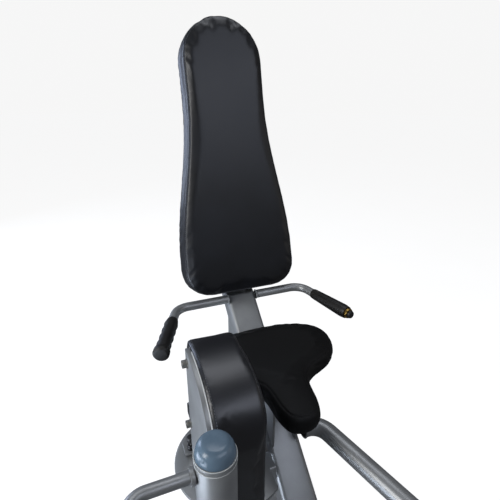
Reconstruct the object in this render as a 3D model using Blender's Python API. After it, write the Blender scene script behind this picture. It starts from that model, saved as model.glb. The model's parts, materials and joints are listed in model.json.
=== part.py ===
"""Seated hip trainer: saddle seat on a sloping spine, tall back pad, side handles and an indexed leg pad.

Blender 4.5 script. Metres, +Z up, the user faces -Y and the user's right-hand side is -X.
The origin is on the floor, in the middle of the base.
"""

import math

import bmesh
import bpy
from mathutils import Matrix, Vector

# Driving dimensions
GAP = 0.0003  # left between touching pieces
DATUM = Vector((0.0, 0.26, 0.62))  # where the side handles cross the centre plane
FLOOR = -DATUM.z  # heights below are measured from the datum unless a name says otherwise

SPINE_ANGLE = math.radians(39.9)  # above the horizontal
SPINE_WIDTH, SPINE_DEPTH, SPINE_CORNER, SPINE_WALL = 0.084, 0.058, 0.012, 0.003

FOOT_HEIGHT = 0.008
RAIL_WIDTH, RAIL_HEIGHT, RAIL_CORNER, RAIL_WALL = 0.070, 0.050, 0.006, 0.003
BASE_FRONT, BASE_REAR = -0.76, 0.24  # along Y, from the datum
CROSSBAR_DEPTH = 0.060
FRONT_HALF_WIDTH, REAR_HALF_WIDTH = 0.416, 0.140
CAP_THICKNESS = 0.004

BACK_ANGLE = math.radians(75.7)
BACK_ORIGIN = Vector((0.0, -0.0327, 0.0256))  # lower end of the pad's front face
BACK_LENGTH, BACK_FOAM, BACK_BOARD = 0.725, 0.066, 0.014
BACK_WIDE, BACK_NECK = 0.1645, 0.112  # half widths
BACK_BRACKET = 0.0065
UPRIGHT_WIDTH, UPRIGHT_DEPTH, UPRIGHT_LENGTH = 0.050, 0.040, 0.470

HANDLE_RADIUS, HANDLE_WALL, HANDLE_BEND = 0.012, 0.002, 0.045
HANDLE_REACH = 0.187
HANDLE_ENDS = {"right": Vector((-0.2615, -0.186)), "left": Vector((0.2345, -0.193))}

SEAT_REAR, SEAT_NOSE = -0.090, -0.399
SEAT_TOP_SLOPE, SEAT_BASE_SLOPE = 0.1365, 0.166
SEAT_TOP_Z, SEAT_BASE_Z = -0.032, -0.072  # at the rear edge
SEAT_BOARD = 0.010

POST_X, POST_Y, POST_RADIUS, POST_WALL = -0.219, -0.472, 0.035, 0.003
POST_TOP = -0.002
CAP_SKIRT, DOME_HEIGHT, DOME_FLAT = 0.011, 0.026, 0.017

LEVER_Z, LEVER_RADIUS, LEVER_CORNER_X, LEVER_BEND = -0.026, 0.0108, -0.352, 0.032
LEVER_END = Vector((-0.397, -0.562))
LEVER_GRIP_LENGTH = 0.072

PIVOT = Vector((-0.133, -0.285))
PLATE_TOP, PLATE_THICKNESS, PLATE_RADIUS, PLATE_CHORD_X = -0.250, 0.008, 0.131, -0.062
INDEX_RADIUS, INDEX_STEP, INDEX_HOLE = 0.096, math.radians(30), 0.0065
INDEX_REST = math.radians(150)
PIN_RADIUS, PIN_LIFT, PIN_TRAVEL = 0.004, 0.001, 0.010  # the parked tip clears the plate, and the knob can drop by the travel
SHAFT_RADIUS, HUB_RADIUS = 0.012, 0.030

PAD_INNER_X, PAD_OUTER_X, PAD_EDGE = -0.100, -0.207, 0.012
PAD_FRONT, PAD_ARC_DEPTH, PAD_ARC_HEIGHT, PAD_ARC_Z = -0.430, 0.153, 0.107, -0.045
PAD_SHIN_REAR, PAD_THIGH_BASE, PAD_BASE = -0.345, -0.030, -0.240
PAD_PLATE_REAR, PAD_PLATE_INSET, PAD_PLATE_THICKNESS = -0.252, 0.005, 0.010

SIDE_TUBE_RADIUS, SIDE_TUBE_WALL, SIDE_TUBE_BEND = 0.0218, 0.0025, 0.048


def at(x, y, z):
    """A world point from a place measured from the datum."""
    return DATUM + Vector((x, y, z))


# Materials

def material(name, colour, roughness, metallic=0.0):
    made = bpy.data.materials.new(name)
    made.use_nodes = True
    shader = made.node_tree.nodes["Principled BSDF"]
    shader.inputs["Base Color"].default_value = (*colour, 1.0)
    shader.inputs["Roughness"].default_value = roughness
    shader.inputs["Metallic"].default_value = metallic
    return made


def make_materials():
    return {
        "paint": material("silver_paint", (0.48, 0.49, 0.48), 0.35, 0.6),
        "vinyl": material("black_vinyl", (0.012, 0.012, 0.014), 0.45),
        "board": material("black_board", (0.02, 0.02, 0.02), 0.6),
        "rubber": material("grip_rubber", (0.015, 0.014, 0.013), 0.7),
        "cap": material("grey_cap", (0.17, 0.25, 0.32), 0.2),
        "steel": material("zinc_steel", (0.55, 0.55, 0.53), 0.3, 1.0),
        "brass": material("brass", (0.62, 0.45, 0.18), 0.35, 1.0),
        "plastic": material("black_plastic", (0.02, 0.02, 0.02), 0.5),
    }


# Shapes

def finish(name, bm, finish_material, parent=None, origin=None):
    """Makes one object from a mesh in world coordinates, with its origin where asked."""
    bmesh.ops.remove_doubles(bm, verts=bm.verts, dist=1e-6)
    bmesh.ops.recalc_face_normals(bm, faces=bm.faces)
    if origin is None:
        origin = parent.location.copy() if parent else DATUM.copy()
    bmesh.ops.translate(bm, verts=bm.verts, vec=-origin)
    mesh = bpy.data.meshes.new(name)
    bm.to_mesh(mesh)
    bm.free()
    mesh.shade_smooth()
    mesh.set_sharp_from_angle(angle=math.radians(35))
    mesh.materials.append(finish_material)
    made = bpy.data.objects.new(name, mesh)
    bpy.context.scene.collection.objects.link(made)
    if parent:
        made.parent = parent
        origin = origin - parent.location
    made.location = origin
    return made


def empty(name, place):
    made = bpy.data.objects.new(name, None)
    made.location = place
    made.empty_display_size = 0.05
    bpy.context.scene.collection.objects.link(made)
    return made


def skin(bm, rings, close=False):
    """Quads between successive rings of vertices; close joins the last ring to the first."""
    count = len(rings[0])
    pairs = list(zip(rings, rings[1:] + rings[:1])) if close else list(zip(rings, rings[1:]))
    for low, high in pairs:
        for i in range(count):
            j = (i + 1) % count
            bm.faces.new((low[i], low[j], high[j], high[i]))


def loft(rings, hollow=None):
    """A solid through rings of points, or a tube where hollow gives the matching inner rings."""
    bm = bmesh.new()
    outer = [[bm.verts.new(p) for p in ring] for ring in rings]
    if hollow is None:
        skin(bm, outer)
        bm.faces.new(outer[0][::-1])
        bm.faces.new(outer[-1])
        return bm
    inner = [[bm.verts.new(p) for p in ring] for ring in hollow]
    skin(bm, outer + inner[::-1], close=True)
    return bm


def circle(radius, count=20):
    steps = [2 * math.pi * i / count for i in range(count)]
    return [Vector((radius * math.cos(a), radius * math.sin(a))) for a in steps]


def rounded_rect(width, height, radius, steps=3):
    points = []
    corners = [(1, 1), (-1, 1), (-1, -1), (1, -1)]
    for quarter, (sx, sy) in enumerate(corners):
        centre = Vector((sx * (width / 2 - radius), sy * (height / 2 - radius)))
        for i in range(steps + 1):
            angle = math.pi / 2 * (quarter + i / steps)
            points.append(centre + radius * Vector((math.cos(angle), math.sin(angle))))
    return points


def fillet(points, radius, steps=6):
    """The path through the points with each inner corner rounded to an arc."""
    path = [points[0]]
    for before, corner, after in zip(points, points[1:], points[2:]):
        back = (before - corner).normalized()
        ahead = (after - corner).normalized()
        half = back.angle(ahead) / 2
        reach = radius / math.tan(half)
        centre = corner + (back + ahead).normalized() * radius / math.sin(half)
        start = corner + back * reach - centre
        turn = Matrix.Rotation((math.pi - 2 * half) / steps, 3, back.cross(-ahead))
        for _ in range(steps + 1):
            path.append(centre + start)
            start = turn @ start
    path.append(points[-1])
    return path


def sweep(path, section, across, wall=None, cuts=(None, None)):
    """Carries a section along a path. across is the section's first axis at the start.

    wall, an inner section, makes a tube. cuts are (point, normal) planes that mitre the two ends.
    """
    rings, inner_rings = [], []
    side = across.normalized()
    for i, place in enumerate(path):
        before = path[max(i - 1, 0)]
        after = path[min(i + 1, len(path) - 1)]
        along = (after - before).normalized()
        side = (side - along * side.dot(along)).normalized()
        up = along.cross(side)
        cut = cuts[0] if i == 0 else cuts[1] if i == len(path) - 1 else None
        for points, found in ((section, rings), (wall, inner_rings)):
            if points is None:
                continue
            ring = [place + side * p.x + up * p.y for p in points]
            if cut:
                ring = [p + along * (cut[0] - p).dot(cut[1]) / along.dot(cut[1]) for p in ring]
            found.append(ring)
    return loft(rings, inner_rings or None)


def box_tube(width, height, corner, wall):
    """Outer and inner sections of a rectangular tube."""
    inner = rounded_rect(width - 2 * wall, height - 2 * wall, max(corner - wall, 0.001))
    return rounded_rect(width, height, corner), inner


def turned(profile, place, axis, count=24, ring=False):
    """A solid of revolution from (radius, height) points; ring closes the profile round a bore."""
    axis = axis.normalized()
    side = axis.orthogonal().normalized()
    up = axis.cross(side)
    bm = bmesh.new()
    rows = []
    for radius, height in profile:
        centre = place + axis * height
        if radius == 0:
            rows.append([bm.verts.new(centre)])
            continue
        rows.append([bm.verts.new(centre + side * p.x + up * p.y) for p in circle(radius, count)])
    pairs = list(zip(rows, rows[1:]))
    if ring:
        pairs.append((rows[-1], rows[0]))
    for low, high in pairs:
        if len(low) == len(high) == 1:
            continue
        for i in range(count):
            j = (i + 1) % count
            corners = [low[i % len(low)], low[j % len(low)], high[j % len(high)], high[i % len(high)]]
            corners = [v for k, v in enumerate(corners) if v not in corners[:k]]
            bm.faces.new(corners)
    return bm


def plate(outline, start, end):
    """A flat plate: the outline's points plus start, extruded to the same points plus end."""
    return loft([[p + start for p in outline], [p + end for p in outline]])


def inset_loop(points, distance):
    """A closed planar loop, anticlockwise, moved inwards by the distance."""
    moved = []
    for i, point in enumerate(points):
        ahead = (points[(i + 1) % len(points)] - point).normalized()
        back = (point - points[i - 1]).normalized()
        normal = Vector((-ahead.y - back.y, ahead.x + back.x)).normalized()
        moved.append(point + normal * distance / max(normal.dot(Vector((-ahead.y, ahead.x))), 0.5))
    return moved


def smooth_curve(points, steps):
    """A Catmull-Rom curve through the points, with its ends held."""
    held = [points[0]] + points + [points[-1]]
    curve = []
    for a, b, c, d in zip(held, held[1:], held[2:], held[3:]):
        for i in range(steps):
            t = i / steps
            pull = -a + 3 * b - 3 * c + d
            curve.append(b + 0.5 * t * (c - a + t * (2 * a - 5 * b + 4 * c - d + t * pull)))
    return curve + [points[-1]]


def cutter(name, bm):
    """A hidden body that a Boolean takes away."""
    mesh = bpy.data.meshes.new(name)
    bmesh.ops.recalc_face_normals(bm, faces=bm.faces)
    bm.to_mesh(mesh)
    bm.free()
    made = bpy.data.objects.new(name, mesh)
    made.hide_render = True
    made.display_type = "WIRE"
    bpy.context.scene.collection.objects.link(made)
    return made


def cut_away(piece, name, holes):
    """Takes round holes, given as (place, radius, half length), out of a piece along Z."""
    bm = bmesh.new()
    for place, radius, half in holes:
        bmesh.ops.create_cone(
            bm, cap_ends=True, segments=16, radius1=radius, radius2=radius, depth=2 * half,
            matrix=Matrix.Translation(place),
        )
    modifier = piece.modifiers.new(name, "BOOLEAN")
    modifier.operation = "DIFFERENCE"
    modifier.solver = "EXACT"
    modifier.object = cutter(name, bm)


# Places that several pieces share

RAIL_TOP = FLOOR + FOOT_HEIGHT + RAIL_HEIGHT
RAIL_MIDDLE = RAIL_TOP - RAIL_HEIGHT / 2
SPINE_ALONG = Vector((0.0, math.cos(SPINE_ANGLE), math.sin(SPINE_ANGLE)))
SPINE_NORMAL = Vector((0.0, -math.sin(SPINE_ANGLE), math.cos(SPINE_ANGLE)))
SPINE_HEAD = 0.005  # height of the spine's level top end
UP = Vector((0.0, 0.0, 1.0))
ACROSS = Vector((1.0, 0.0, 0.0))
BACK_UP = Vector((0.0, math.cos(BACK_ANGLE), math.sin(BACK_ANGLE)))
BACK_REAR = Vector((0.0, math.sin(BACK_ANGLE), -math.cos(BACK_ANGLE)))


def on_back(x, along, behind):
    """A point of the reclined back: along its length and behind its front face."""
    return DATUM + BACK_ORIGIN + ACROSS * x + BACK_UP * along + BACK_REAR * behind


def index_place(angle, height):
    return at(PIVOT.x + INDEX_RADIUS * math.cos(angle), PIVOT.y + INDEX_RADIUS * math.sin(angle), height)


# Base

def straight_rail(name, start, end, across, width, paint, height=RAIL_HEIGHT):
    outer, inner = box_tube(width, height, RAIL_CORNER, RAIL_WALL)
    finish(name, sweep([start, end], outer, across, inner), paint)


def end_cap(name, place, outward, width, mats):
    """A plastic plug over a rail's open end."""
    side = outward.cross(UP)
    ring = [place + side * p.x + UP * p.y for p in rounded_rect(width, RAIL_HEIGHT, RAIL_CORNER)]
    small = [place + (p - place) * 0.94 + outward * CAP_THICKNESS for p in ring]
    finish(name, loft([[p + outward * GAP for p in ring], small]), mats["plastic"])


def make_base(mats):
    front_mid = BASE_FRONT + CROSSBAR_DEPTH / 2
    rear_mid = BASE_REAR - CROSSBAR_DEPTH / 2
    rail_front = BASE_FRONT + CROSSBAR_DEPTH + GAP
    rail_rear = BASE_REAR - CROSSBAR_DEPTH - GAP
    straight_rail("base_rail", at(0, rail_front, RAIL_MIDDLE), at(0, rail_rear, RAIL_MIDDLE),
                  ACROSS, RAIL_WIDTH, mats["paint"])
    for end, middle, half in (("front", front_mid, FRONT_HALF_WIDTH), ("rear", rear_mid, REAR_HALF_WIDTH)):
        reach = half - CAP_THICKNESS - GAP
        straight_rail(f"{end}_crossbar", at(-reach, middle, RAIL_MIDDLE), at(reach, middle, RAIL_MIDDLE),
                      Vector((0, 1, 0)), CROSSBAR_DEPTH, mats["paint"])
        for side, sign in (("right", -1), ("left", 1)):
            end_cap(f"{end}_cap_{side}", at(sign * reach, middle, RAIL_MIDDLE), ACROSS * sign,
                    CROSSBAR_DEPTH, mats)
            rubber_foot(f"{end}_foot_{side}", sign * (half - 0.035), middle, mats)
    outrigger_end = POST_X - POST_RADIUS - 0.006
    straight_rail("post_outrigger", at(outrigger_end, POST_Y, RAIL_MIDDLE),
                  at(-RAIL_WIDTH / 2 - GAP, POST_Y, RAIL_MIDDLE), Vector((0, 1, 0)), 0.070, mats["paint"])
    end_cap("outrigger_cap", at(outrigger_end, POST_Y, RAIL_MIDDLE), -ACROSS, 0.070, mats)
    rubber_foot("outrigger_foot", POST_X, POST_Y, mats)


def rubber_foot(name, x, y, mats):
    profile = [(0, 0), (0.022, 0), (0.025, 0.002), (0.023, FOOT_HEIGHT - GAP), (0, FOOT_HEIGHT - GAP)]
    finish(name, turned(profile, at(x, y, FLOOR), UP, 16), mats["rubber"])


# Spine, rear leg and back frame

def make_spine(mats):
    outer, inner = box_tube(SPINE_WIDTH, SPINE_DEPTH, SPINE_CORNER, SPINE_WALL)
    centre = DATUM - SPINE_NORMAL * SPINE_DEPTH / 2
    lower = (at(0, 0, RAIL_TOP + GAP), UP)
    upper = (at(0, 0, SPINE_HEAD), UP)
    path = [centre - SPINE_ALONG * 0.9, centre + SPINE_ALONG * 0.05]
    finish("spine", sweep(path, outer, ACROSS, inner, (lower, upper)), mats["paint"])
    leg_outer, leg_inner = box_tube(0.050, 0.060, RAIL_CORNER, RAIL_WALL)
    under = DATUM - SPINE_NORMAL * (SPINE_DEPTH + GAP)
    path = [at(0, 0.03, RAIL_TOP + GAP), at(0, 0.03, -0.05)]
    finish("rear_leg", sweep(path, leg_outer, ACROSS, leg_inner, (None, (under, SPINE_NORMAL))), mats["paint"])


def make_back_frame(mats):
    front = BACK_FOAM + BACK_BOARD + BACK_BRACKET + 2 * GAP
    middle = front + UPRIGHT_DEPTH / 2
    outer, inner = box_tube(UPRIGHT_WIDTH, UPRIGHT_DEPTH, RAIL_CORNER, RAIL_WALL)
    foot = (at(0, 0, SPINE_HEAD + GAP), UP)
    path = [on_back(0, 0, middle), on_back(0, UPRIGHT_LENGTH, middle)]
    finish("back_upright", sweep(path, outer, ACROSS, inner, (foot, None)), mats["paint"])
    ring = rounded_rect(UPRIGHT_WIDTH, UPRIGHT_DEPTH, RAIL_CORNER)
    base = [on_back(p.x, UPRIGHT_LENGTH + GAP, middle + p.y) for p in ring]
    top = [on_back(p.x * 0.9, UPRIGHT_LENGTH + 0.005, middle + p.y * 0.9) for p in ring]
    finish("upright_cap", loft([base, top]), mats["plastic"])
    bracket = rounded_rect(0.150, 0.040, 0.006)
    for name, along in (("back_bracket_lower", 0.110), ("back_bracket_upper", 0.400)):
        rings = []
        for behind in (front - BACK_BRACKET, front - GAP):
            rings.append([on_back(p.x, along + p.y, behind) for p in bracket])
        finish(name, loft(rings), mats["paint"])


def bolt_head(place, outward, radius=0.0085, height=0.006):
    """A hexagon bolt head on a washer."""
    washer = radius * 1.25
    profile = [(0, 0), (washer, 0), (washer, 0.0015), (radius, 0.0015), (radius, height), (0, height)]
    return turned(profile, place, outward, 12)


def back_outline(inset):
    """The bottle-shaped pad outline as (across, along) points, anticlockwise from the lower left."""
    corner = 0.075
    half = [Vector((BACK_WIDE - corner, inset))]
    for i in range(1, 6):
        angle = math.pi / 2 * i / 5
        reach = corner - inset
        half.append(Vector((BACK_WIDE - corner + reach * math.sin(angle), corner - reach * math.cos(angle))))
    neck_start, neck_end = 0.12, 0.72
    for i in range(1, 9):
        t = i / 8
        width = BACK_NECK + (BACK_WIDE - BACK_NECK) * (1 + math.cos(math.pi * t)) / 2
        half.append(Vector((width - inset, BACK_LENGTH * (neck_start + (neck_end - neck_start) * t))))
    crown = BACK_LENGTH - BACK_NECK
    for i in range(9):
        angle = math.pi / 2 * i / 9
        reach = BACK_NECK - inset
        half.append(Vector((reach * math.cos(angle), crown + reach * math.sin(angle))))
    top = [Vector((0, BACK_LENGTH - inset))]
    return half + top + [Vector((-p.x, p.y)) for p in reversed(half)]


def make_back_pad(mats):
    levels = [(0.015, 0.000), (0.006, 0.0025), (0.0015, 0.008), (0.0, 0.020), (0.0, 0.052), (0.005, BACK_FOAM)]
    rings = [[on_back(p.x, p.y, behind) for p in back_outline(inset)] for inset, behind in levels]
    finish("back_pad", loft(rings), mats["vinyl"])
    start, end = BACK_FOAM + GAP, BACK_FOAM + BACK_BOARD
    rings = [[on_back(p.x, p.y, behind) for p in back_outline(0.012)] for behind in (start, end)]
    finish("back_board", loft(rings), mats["board"])


# Side handles

def make_handles(mats):
    for side, sign in (("right", -1), ("left", 1)):
        corner = at(sign * HANDLE_REACH, 0, 0)
        end = at(HANDLE_ENDS[side].x, HANDLE_ENDS[side].y, 0)
        ahead = (end - corner).normalized()
        tube_end = end - ahead * 0.012
        path = fillet([at(sign * (SPINE_WIDTH / 2 + GAP), 0, 0), corner, tube_end], HANDLE_BEND, 8)
        bm = sweep(path, circle(HANDLE_RADIUS, 16), UP, circle(HANDLE_RADIUS - HANDLE_WALL, 16))
        finish(f"handle_{side}", bm, mats["paint"])
        make_grip(side, tube_end, ahead, mats)


def make_grip(side, tube_end, ahead, mats):
    bore = HANDLE_RADIUS + GAP
    length = 0.128
    start = tube_end - ahead * length
    outer = [(0.0138, 0), (0.0148, 0.010), (0.0165, 0.060), (0.0182, length - 0.014), (0.0165, length)]
    if side == "right":
        ridges = 4
        outer = [(0.0145, 0)]
        for i in range(2 * ridges + 1):
            radius = 0.0176 if i % 2 else 0.0155
            outer.append((radius, 0.006 + (length - 0.020) * i / (2 * ridges)))
        outer += [(0.0190, length - 0.008), (0.0195, length)]
        outer += [(0.0195, length + 0.004), (0.0155, length + 0.009), (0, length + 0.009), (0, length + GAP)]
    closed_end = length + GAP if side == "right" else length
    profile = [(bore, 0)] + outer + [(bore, closed_end)]
    finish(f"grip_{side}", turned(profile, start, ahead, 20, ring=True), mats["rubber"])
    if side == "right":
        return
    ferrule = [(0, GAP), (0.0135, GAP), (0.0140, 0.002), (0.0135, 0.007), (0, 0.007)]
    finish("grip_ferrule_left", turned(ferrule, tube_end, ahead, 20), mats["brass"])
    plug = [(0, GAP), (0.0105, GAP), (0.0112, 0.004), (0.0090, 0.009), (0, 0.009)]
    finish("grip_plug_left", turned(plug, tube_end + ahead * 0.007, ahead, 20), mats["plastic"])


# Seat

def seat_height(y, level):
    """Height of the cushion at a place along Y: level 0 is its base and level 1 its top."""
    base = SEAT_BASE_Z + (y - SEAT_REAR) * SEAT_BASE_SLOPE
    top = SEAT_TOP_Z + (y - SEAT_REAR) * SEAT_TOP_SLOPE
    return base + (top - base) * level


def seat_outline():
    """The saddle's outline, anticlockwise: a wide rear edge, two lobes and a narrow nose."""
    half = [(0, SEAT_REAR), (0.060, -0.093), (0.120, -0.108), (0.165, -0.136), (0.183, -0.178),
            (0.172, -0.222), (0.135, -0.256), (0.088, -0.274), (0.062, -0.292), (0.055, -0.320),
            (0.052, -0.350), (0.041, -0.382), (0.021, -0.396), (0, SEAT_NOSE)]
    curve = smooth_curve([Vector((x, y)) for x, y in half], 2)
    return [Vector((-p.x, p.y)) for p in curve] + curve[-2:0:-1]


def make_seat(mats):
    outline = seat_outline()
    rings = []
    for inset, level in ((0.008, 0.0), (0.0, 0.25), (0.0, 0.55), (0.004, 0.80), (0.012, 0.95), (0.024, 1.0)):
        loop = inset_loop(outline, inset)
        rings.append([at(p.x, p.y, seat_height(p.y, level)) for p in loop])
    finish("seat_cushion", loft(rings), mats["vinyl"])
    board = [Vector((p.x, min(max(p.y, -0.375), -0.135))) for p in inset_loop(outline, 0.020)]
    kept = [p for i, p in enumerate(board) if (p - board[i - 1]).length > 0.002]
    rings = []
    for drop in (GAP, SEAT_BOARD):
        rings.append([at(p.x, p.y, seat_height(p.y, 0) - drop) for p in kept])
    finish("seat_board", loft(rings), mats["board"])
    for side, sign in (("right", -1), ("left", 1)):
        make_seat_gusset(side, sign * 0.031, mats)


def spine_top(y):
    return y * math.tan(SPINE_ANGLE)


def make_seat_gusset(side, x, mats):
    """A steel web that carries the seat board on the spine's top face."""
    rear, front = -0.165, -0.300
    under = SEAT_BOARD + GAP
    outline = [
        at(x, front, seat_height(front, 0) - under),
        at(x, rear, seat_height(rear, 0) - under),
        at(x, rear, spine_top(rear) + 0.0006),
        at(x, front, spine_top(front) + 0.0006),
    ]
    finish(f"seat_gusset_{side}", plate(outline, -ACROSS * 0.003, ACROSS * 0.003), mats["paint"])


# Front post with its cap

def make_post(mats):
    wall = POST_RADIUS - POST_WALL
    foot = RAIL_TOP + GAP
    profile = [(wall, foot), (POST_RADIUS, foot), (POST_RADIUS, POST_TOP), (wall, POST_TOP)]
    finish("post", turned(profile, at(POST_X, POST_Y, 0), UP, 32, ring=True), mats["paint"])
    skirt = [(0, POST_TOP + GAP), (POST_RADIUS + 0.0005, POST_TOP + GAP), (POST_RADIUS + 0.0005, POST_TOP + CAP_SKIRT),
             (0, POST_TOP + CAP_SKIRT)]
    finish("post_ring", turned(skirt, at(POST_X, POST_Y, 0), UP, 32), mats["paint"])
    base = POST_TOP + CAP_SKIRT + GAP
    dome = [(0, base), (POST_RADIUS - 0.001, base)]
    for i in range(1, 7):
        angle = math.pi / 2 * i / 6
        reach = POST_RADIUS - 0.001 - DOME_FLAT
        dome.append((DOME_FLAT + reach * math.cos(angle), base + DOME_HEIGHT * math.sin(angle)))
    dome.append((0, base + DOME_HEIGHT))
    finish("post_cap", turned(dome, at(POST_X, POST_Y, 0), UP, 32), mats["cap"])


def make_foot_pegs(mats):
    """Rubber-sleeved pegs for the feet, one on the post and one on the side tube's leg."""
    height = FLOOR + 0.150
    for side, start, outward in (
        ("right", at(POST_X - POST_RADIUS - GAP, POST_Y, height), -ACROSS),
        ("left", at(0.2338, -0.7015, height), ACROSS),
    ):
        length = 0.115
        peg = [(0, 0), (0.0125, 0), (0.0125, length), (0, length)]
        finish(f"foot_peg_{side}", turned(peg, start, outward, 16), mats["paint"])
        sleeve = [(0.0128, 0.012), (0.019, 0.012), (0.019, length - 0.002), (0.0128, length - 0.002)]
        finish(f"foot_sleeve_{side}", turned(sleeve, start, outward, 16, ring=True), mats["rubber"])


# Side tube on the user's left

def make_side_tube(mats):
    start = at(SPINE_WIDTH / 2 + GAP, -0.306, -0.212)
    elbow = at(0.087, -0.306, -0.212)
    knee = at(0.193, -0.642, -0.238)
    foot = at(0.218, -0.725, RAIL_TOP + GAP)
    section = circle(SIDE_TUBE_RADIUS, 20)
    wall = circle(SIDE_TUBE_RADIUS - SIDE_TUBE_WALL, 20)
    path = fillet([start, elbow, knee, foot], SIDE_TUBE_BEND, 8)
    cuts = ((start, ACROSS), (foot, UP))
    finish("side_tube", sweep(path, section, UP, wall, cuts), mats["paint"])


# Range plate and its damper

def make_range_plate(mats):
    chord = math.acos((PLATE_CHORD_X - PIVOT.x) / PLATE_RADIUS)
    steps = 40
    outline = []
    for i in range(steps + 1):
        angle = chord + (2 * math.pi - 2 * chord) * i / steps
        outline.append(at(PIVOT.x + PLATE_RADIUS * math.cos(angle), PIVOT.y + PLATE_RADIUS * math.sin(angle), 0))
    low = UP * (PLATE_TOP - PLATE_THICKNESS)
    made = finish("range_plate", plate(outline, low, UP * PLATE_TOP), mats["paint"])
    middle = PLATE_TOP - PLATE_THICKNESS / 2
    holes = [(index_place(INDEX_REST + INDEX_STEP * k, middle), INDEX_HOLE, 0.02) for k in range(-2, 3)]
    holes.append((at(PIVOT.x, PIVOT.y, middle), SHAFT_RADIUS + 0.0005, 0.02))
    cut_away(made, "plate_holes", holes)
    under = PLATE_TOP - PLATE_THICKNESS - GAP
    place = at(PIVOT.x, PIVOT.y, 0)
    bore = SHAFT_RADIUS + 0.0005
    damper = [(0, under - 0.050), (bore, under - 0.050), (bore, under), (0.044, under), (0.048, under - 0.004),
              (0.048, under - 0.080), (0.042, under - 0.088), (0, under - 0.088)]
    finish("damper_body", turned(damper, place, UP, 28), mats["plastic"])
    outer, inner = box_tube(0.048, 0.046, RAIL_CORNER, RAIL_WALL)
    path = [at(x, -0.321, under - 0.023) for x in (-SPINE_WIDTH / 2 - GAP, -0.0845)]
    finish("pivot_bracket", sweep(path, outer, Vector((0, 1, 0)), inner), mats["paint"])


# Leg arm: everything that turns about the vertical pivot

def pad_profile(inset):
    """Side outline of the leg pad as (y, z) points, anticlockwise seen from +X."""
    points = [Vector((PAD_FRONT + inset, PAD_BASE + inset)), Vector((PAD_SHIN_REAR - inset, PAD_BASE + inset))]
    fillet_radius = 0.030 + inset
    centre = Vector((PAD_SHIN_REAR + 0.030, PAD_THIGH_BASE - 0.030))
    for i in range(5):
        angle = math.pi - math.pi / 2 * i / 4
        points.append(centre + fillet_radius * Vector((math.cos(angle), math.sin(angle))))
    top_mid = PAD_FRONT + PAD_ARC_DEPTH
    rear = top_mid + 0.086
    end_radius = 0.026
    for i in range(5):
        angle = -math.pi / 2 + math.pi * 0.62 * i / 4
        centre = Vector((rear - end_radius, PAD_THIGH_BASE + end_radius))
        points.append(centre + (end_radius - inset) * Vector((math.cos(angle), math.sin(angle))))
    for i in range(15):
        angle = math.radians(112 - 112 * i / 14)
        depth, height = PAD_ARC_DEPTH - inset, PAD_ARC_HEIGHT - inset
        points.append(Vector((top_mid - depth * math.cos(angle), PAD_ARC_Z + height * math.sin(angle))))
    return points


def plate_profile():
    """Side outline of the steel plate behind the leg pad: the pad's own arch, a little inside it."""
    depth, height = PAD_ARC_DEPTH - PAD_PLATE_INSET, PAD_ARC_HEIGHT - PAD_PLATE_INSET
    middle = PAD_FRONT + PAD_ARC_DEPTH
    low = PLATE_TOP + 0.004
    start = math.acos((PAD_PLATE_REAR - middle) / depth)
    points = [Vector((middle - depth, low)), Vector((PAD_PLATE_REAR, low))]
    for i in range(17):
        angle = start + (math.pi - start) * i / 16
        points.append(Vector((middle + depth * math.cos(angle), PAD_ARC_Z + height * math.sin(angle))))
    return points


def make_leg_arm(mats):
    pivot = empty("leg_arm_pivot", at(PIVOT.x, PIVOT.y, PLATE_TOP))
    centre = at(PIVOT.x, PIVOT.y, 0)
    low, high = PLATE_TOP + 0.0005, -0.213
    bore = SHAFT_RADIUS + GAP
    shaft = [(0, -0.300), (SHAFT_RADIUS, -0.300), (SHAFT_RADIUS, high + GAP), (HUB_RADIUS, high + GAP),
             (HUB_RADIUS - 0.002, high + 0.006), (0.011, high + 0.006), (0.010, high + 0.012), (0, high + 0.012)]
    finish("pivot_shaft", turned(shaft, centre, UP, 28), mats["steel"], pivot)
    hub = [(bore, low), (HUB_RADIUS, low), (HUB_RADIUS, high), (bore, high)]
    finish("pivot_hub", turned(hub, centre, UP, 28, ring=True), mats["paint"], pivot)
    bar_z = PLATE_TOP + 0.019
    outer, inner = box_tube(0.040, 0.030, 0.004, 0.003)
    path = [at(PIVOT.x - HUB_RADIUS - 0.0005, PIVOT.y, bar_z), at(PAD_OUTER_X, PIVOT.y, bar_z)]
    finish("arm_bar", sweep(path, outer, Vector((0, 1, 0)), inner), mats["paint"], pivot)
    outline = [at(PAD_OUTER_X - GAP, p.x, p.y) for p in plate_profile()]
    made = plate(outline, -ACROSS * PAD_PLATE_THICKNESS, Vector((0, 0, 0)))
    finish("pad_plate", made, mats["paint"], pivot)
    levels = [(0.004, PAD_OUTER_X), (0.001, PAD_OUTER_X + 0.003), (0.0, PAD_OUTER_X + 0.008),
              (0.0, PAD_INNER_X - PAD_EDGE), (0.004, PAD_INNER_X - 0.004), (0.0105, PAD_INNER_X)]
    rings = [[at(x, p.x, p.y) for p in pad_profile(inset)] for inset, x in levels]
    finish("leg_pad", loft(rings), mats["vinyl"], pivot)
    for name, y, z in (("pad_bolt_upper", -0.268, 0.030), ("pad_bolt_lower", -0.2635, -0.137)):
        place = at(PAD_OUTER_X - PAD_PLATE_THICKNESS - 2 * GAP, y, z)
        finish(name, bolt_head(place, -ACROSS, 0.0085, 0.011), mats["steel"], pivot)
    make_index_pin(pivot, mats)


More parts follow.
